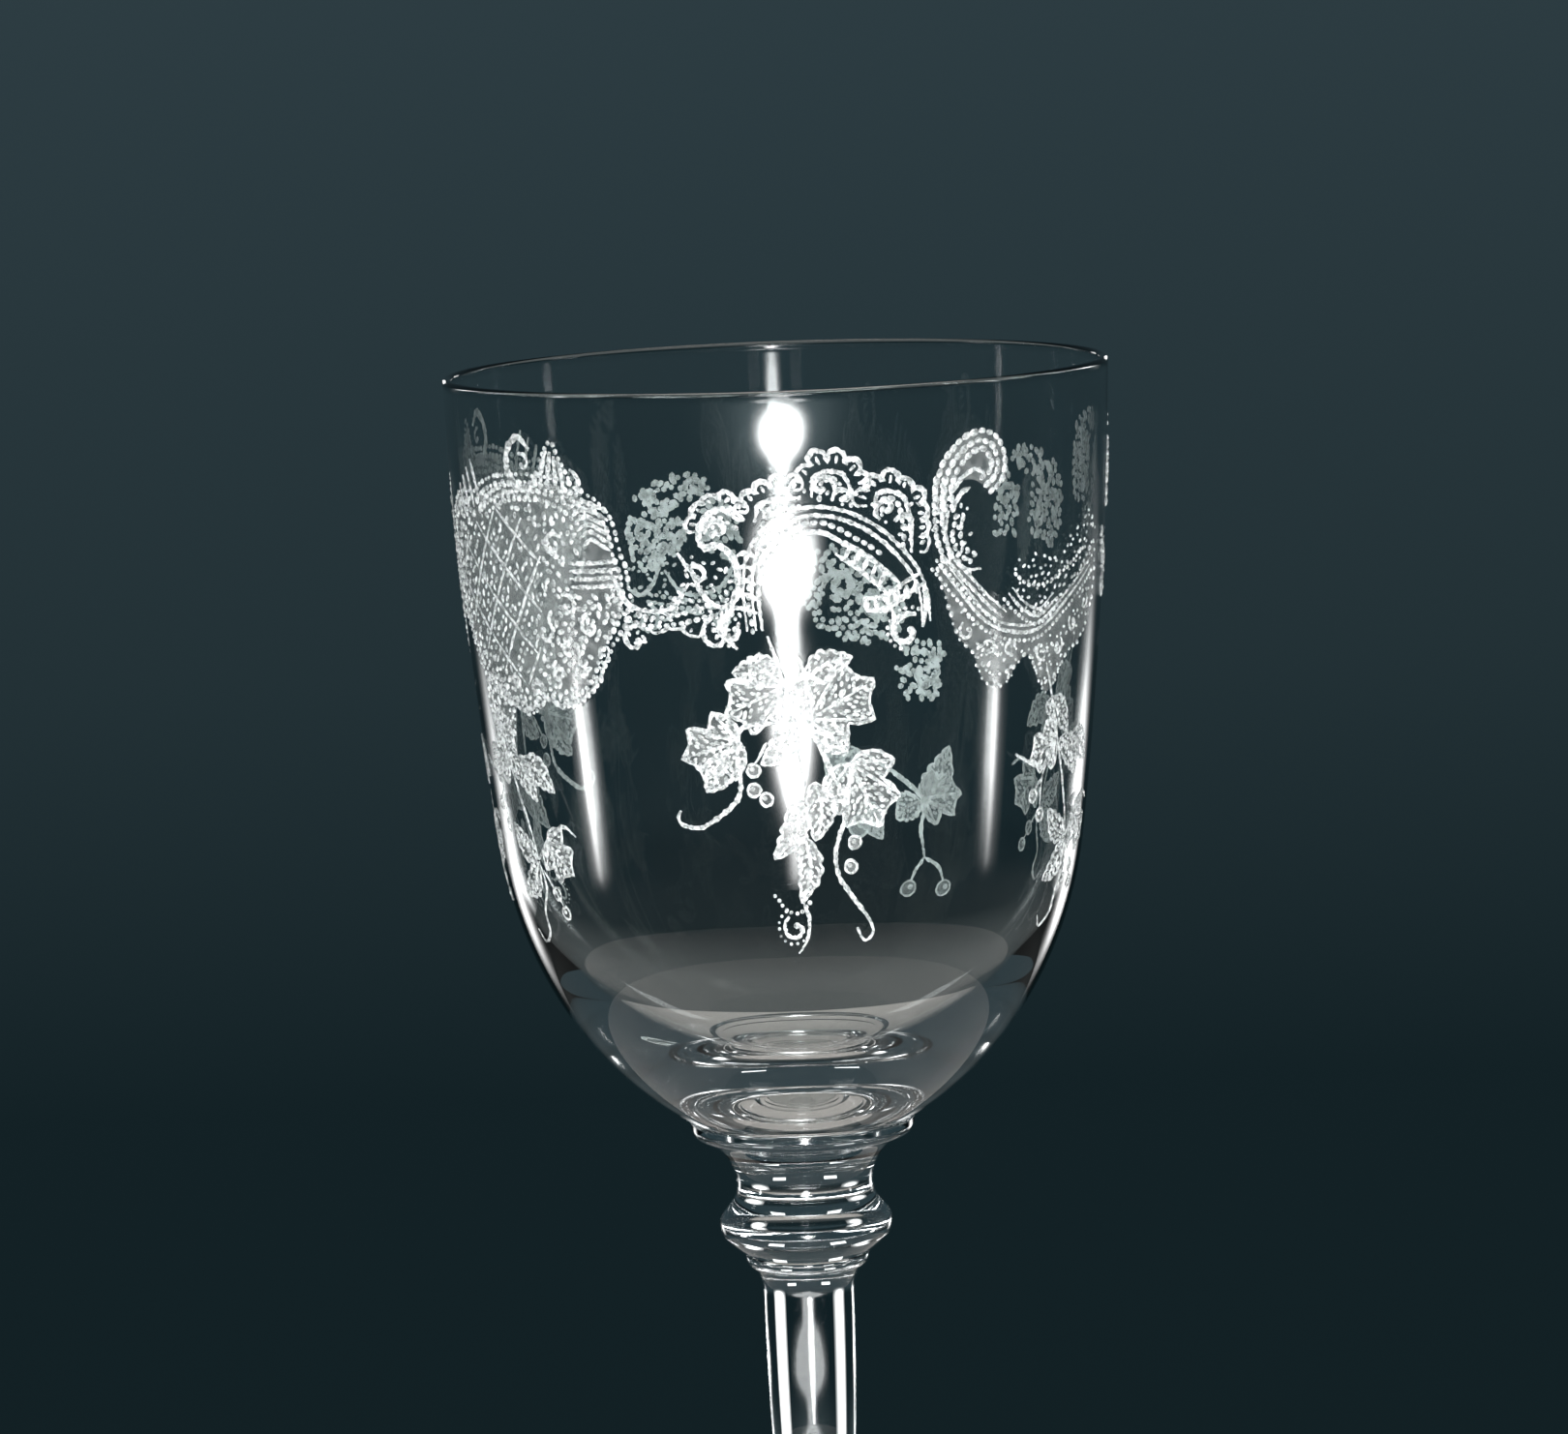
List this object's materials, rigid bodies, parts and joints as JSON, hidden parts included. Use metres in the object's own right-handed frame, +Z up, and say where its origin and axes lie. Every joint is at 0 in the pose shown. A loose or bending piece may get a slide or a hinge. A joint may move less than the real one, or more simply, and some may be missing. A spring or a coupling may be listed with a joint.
{
  "type": "stemmed wine glass",
  "caption": "Clear stemmed wine glass: deep rounded bowl with an etched band, disc collar, bulb knop, slim shank and flat round foot.",
  "frame": {"origin": "centre of the foot's underside, at the height of the flat ring that it stands on", "axes": "+Z up along the glass's axis, from the foot to the mouth; X and Y are free, because the glass is round"},
  "size_m": [0.078, 0.078, 0.165],
  "materials": {
    "clear_glass": "clear soda-lime or light crystal glass, fire-polished and smooth",
    "etched_glass": "acid-etched ornament on the bowl's outer face, frosted grey with raised bright lines"
  },
  "bodies": {
    "root": {"bowl": "clear_glass", "collar": "clear_glass", "knop": "clear_glass", "knop_ring": "clear_glass", "shank": "clear_glass", "foot": "clear_glass"}
  },
  "joints": []
}
